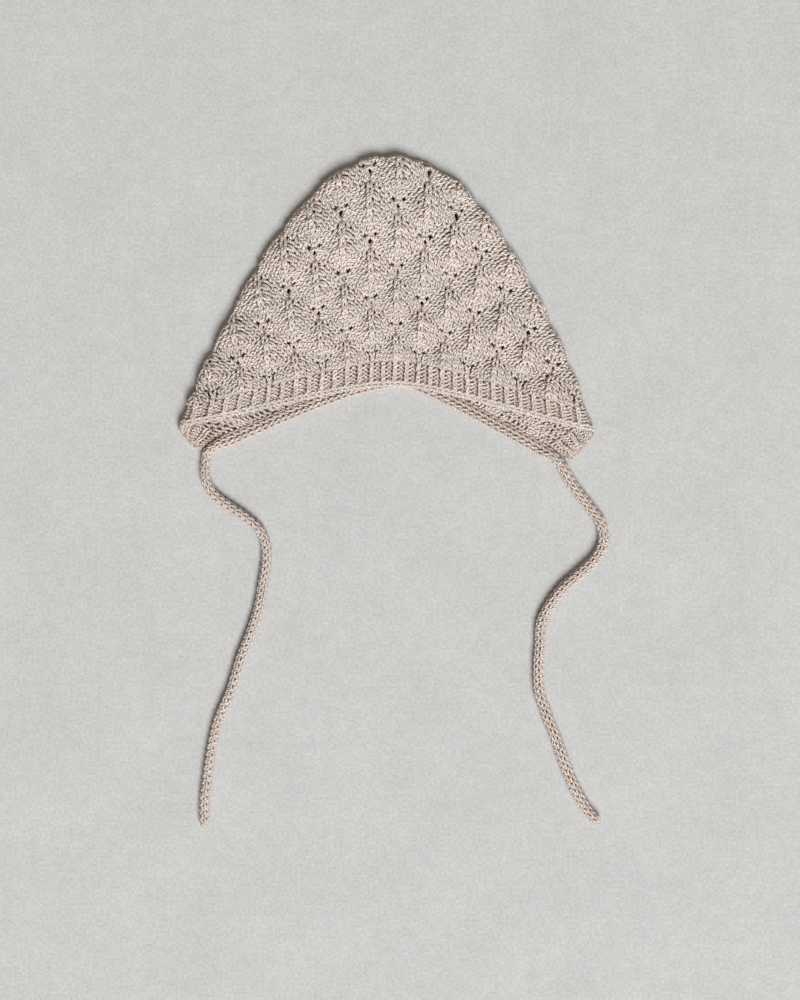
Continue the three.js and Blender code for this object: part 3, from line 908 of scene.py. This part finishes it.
def wall_strands(first, last, sizes):
    """Strands of the strip's rows, laid on the folded wall, thicker where stitches are wider."""
    strands = []
    for row, line in enumerate(knitted_rows(first, last, sizes.yarn_depth), first):
        wider = 1 + STITCH_SPREAD / STITCH_PITCH * max(0, row - BAND_ROWS - 1)
        radius = sizes.yarn_width / 2 * LOOP_YARN * wider
        strands.append((*on_wall(line[:, 0], line[:, 1], line[:, 2]), line[:, 3], radius))
    return strands


class BONNET_OT_stage(Operator):
    """Lays the pale floor and sets the soft light and the camera."""

    bl_idname = "bonnet.stage"
    bl_label = "Floor, light and camera"

    def execute(self, context):
        sizes = context.scene.stage_sizes
        bpy.ops.object.select_all(action="DESELECT")
        bpy.ops.mesh.primitive_plane_add(size=FLOOR_SIZE, location=(0, 0, 0))
        floor = context.active_object
        floor.name = "floor"
        floor.data.materials.append(pale_paper(sizes.floor_colour))

        key = bpy.data.lights.new("key", "AREA")
        key.shape = "DISK"
        key.size = sizes.key_size
        key.energy = sizes.key_energy
        key.color = sizes.key_colour
        lamp = bpy.data.objects.new("key", key)
        slant = math.pi / 2 - sizes.key_elevation
        lamp.rotation_euler = (slant, 0, sizes.key_turn)
        reach = sizes.key_distance * math.sin(slant)
        lamp.location = (reach * math.sin(sizes.key_turn), -reach * math.cos(sizes.key_turn),
                         sizes.key_distance * math.cos(slant))
        context.scene.collection.objects.link(lamp)

        world = bpy.data.worlds.new("even_sky")
        world.use_nodes = True
        world.node_tree.nodes["Background"].inputs["Color"].default_value = (*sizes.sky_colour, 1)
        world.node_tree.nodes["Background"].inputs["Strength"].default_value = sizes.sky_strength
        context.scene.world = world

        view = bpy.data.cameras.new("view")
        view.lens = LENS
        view.clip_end = VIEW_END
        camera = bpy.data.objects.new("view", view)
        camera.location = (CAMERA_X, CAMERA_Y, sizes.camera_height)
        context.scene.collection.objects.link(camera)
        context.scene.camera = camera
        context.scene.view_settings.view_transform = "Standard"
        return {"FINISHED"}


class BONNET_OT_ties(Operator):
    """Knits the two ties and lays them on the floor."""

    bl_idname = "bonnet.ties"
    bl_label = "Ties"

    def execute(self, context):
        sizes = context.scene.bonnet_sizes
        line, (left, right) = cord_line()
        spans = (("tie_left", 0, left, line[left::-1]),
                 ("tie_right", right, len(line) - 1, line[right:]))
        for name, first, last, path in spans:
            strand = knitted_cord(line, (left, right), first, last, sizes)
            piece = yarn_tube("knitted_" + name, [strand], bpy.data.materials["knitted_cord_wool"])
            settled(piece, name)
            path = [(x, y, TIE_DIAMETER / 2) for x, y in path[::PATH_STEP, :2].tolist()]
        return {"FINISHED"}


class BONNET_OT_crown(Operator):
    """Knits the lace crown, top and underside, in three bands of rows."""

    bl_idname = "bonnet.crown"
    bl_label = "Lace crown"

    def execute(self, context):
        sizes = context.scene.bonnet_sizes
        for name, first, last in LACE_PIECES:
            piece = yarn_tube("lace_" + name, wall_strands(first, last, sizes),
                              bpy.data.materials["knitted_lace_wool"])
            settled(piece, "crown")
        return {"FINISHED"}


class BONNET_OT_face_band(Operator):
    """Knits the ribbed band along the face edge."""

    bl_idname = "bonnet.face_band"
    bl_label = "Ribbed face band"

    def execute(self, context):
        sizes = context.scene.bonnet_sizes
        piece = yarn_tube("ribbed_band", wall_strands(0, BAND_ROWS - 1, sizes),
                          bpy.data.materials["knitted_rib_wool"])
        settled(piece, "face_band")
        return {"FINISHED"}


class BONNET_OT_face_edging(Operator):
    """Binds off the face edge in a chain of links."""

    bl_idname = "bonnet.face_edging"
    bl_label = "Bound-off face edge"

    def execute(self, context):
        sizes = context.scene.bonnet_sizes
        links = chain_links(sizes.yarn_depth * LINK_DEPTH, sizes.yarn_width / 2)
        piece = yarn_tube("bound_edge", links, bpy.data.materials["knitted_cord_wool"])
        settled(piece, "face_edging")
        return {"FINISHED"}


class BONNET_OT_neck_edging(Operator):
    """Knits the cord along the neck edge."""

    bl_idname = "bonnet.neck_edging"
    bl_label = "Neck edging"

    def execute(self, context):
        sizes = context.scene.bonnet_sizes
        line, (left, right) = cord_line()
        strand = knitted_cord(line, (left, right), left, right, sizes)
        piece = yarn_tube("neck_cord", [strand], bpy.data.materials["knitted_cord_wool"])
        settled(piece, "neck_edging")
        return {"FINISHED"}


STEPS = (
    BONNET_OT_stage,
    BONNET_OT_ties,
    BONNET_OT_crown,
    BONNET_OT_face_band,
    BONNET_OT_face_edging,
    BONNET_OT_neck_edging,
)


class BONNET_PT_sidebar(Panel):
    """Lists the bonnet's pieces in the sidebar."""

    bl_label = "Knitted Baby Bonnet"
    bl_idname = "BONNET_PT_sidebar"
    bl_space_type = "VIEW_3D"
    bl_region_type = "UI"
    bl_category = "Bonnet"

    def draw(self, context):
        for sizes in (context.scene.bonnet_sizes, context.scene.stage_sizes):
            for name in sizes.bl_rna.properties.keys():
                if name not in ("rna_type", "name"):
                    self.layout.prop(sizes, name)
        for step in STEPS:
            self.layout.operator(step.bl_idname)


CLASSES = (BonnetSizes, StageSizes, *STEPS, BONNET_PT_sidebar)


def register():
    """Adds the sizes, the operators and the panel."""
    for item in CLASSES:
        bpy.utils.register_class(item)
    bpy.types.Scene.bonnet_sizes = PointerProperty(type=BonnetSizes)
    bpy.types.Scene.stage_sizes = PointerProperty(type=StageSizes)


def unregister():
    """Removes what register added."""
    del bpy.types.Scene.stage_sizes
    del bpy.types.Scene.bonnet_sizes
    for item in reversed(CLASSES):
        bpy.utils.unregister_class(item)


def main():
    """Knits the bonnet piece by piece."""
    register()
    for slot in ("lace_wool", "rib_wool", "cord_wool"):
        wool("knitted_" + slot, bpy.context.scene.bonnet_sizes)
    for step in STEPS:
        space, name = step.bl_idname.split(".")
        getattr(getattr(bpy.ops, space), name)()


if __name__ == "__main__":
    main()
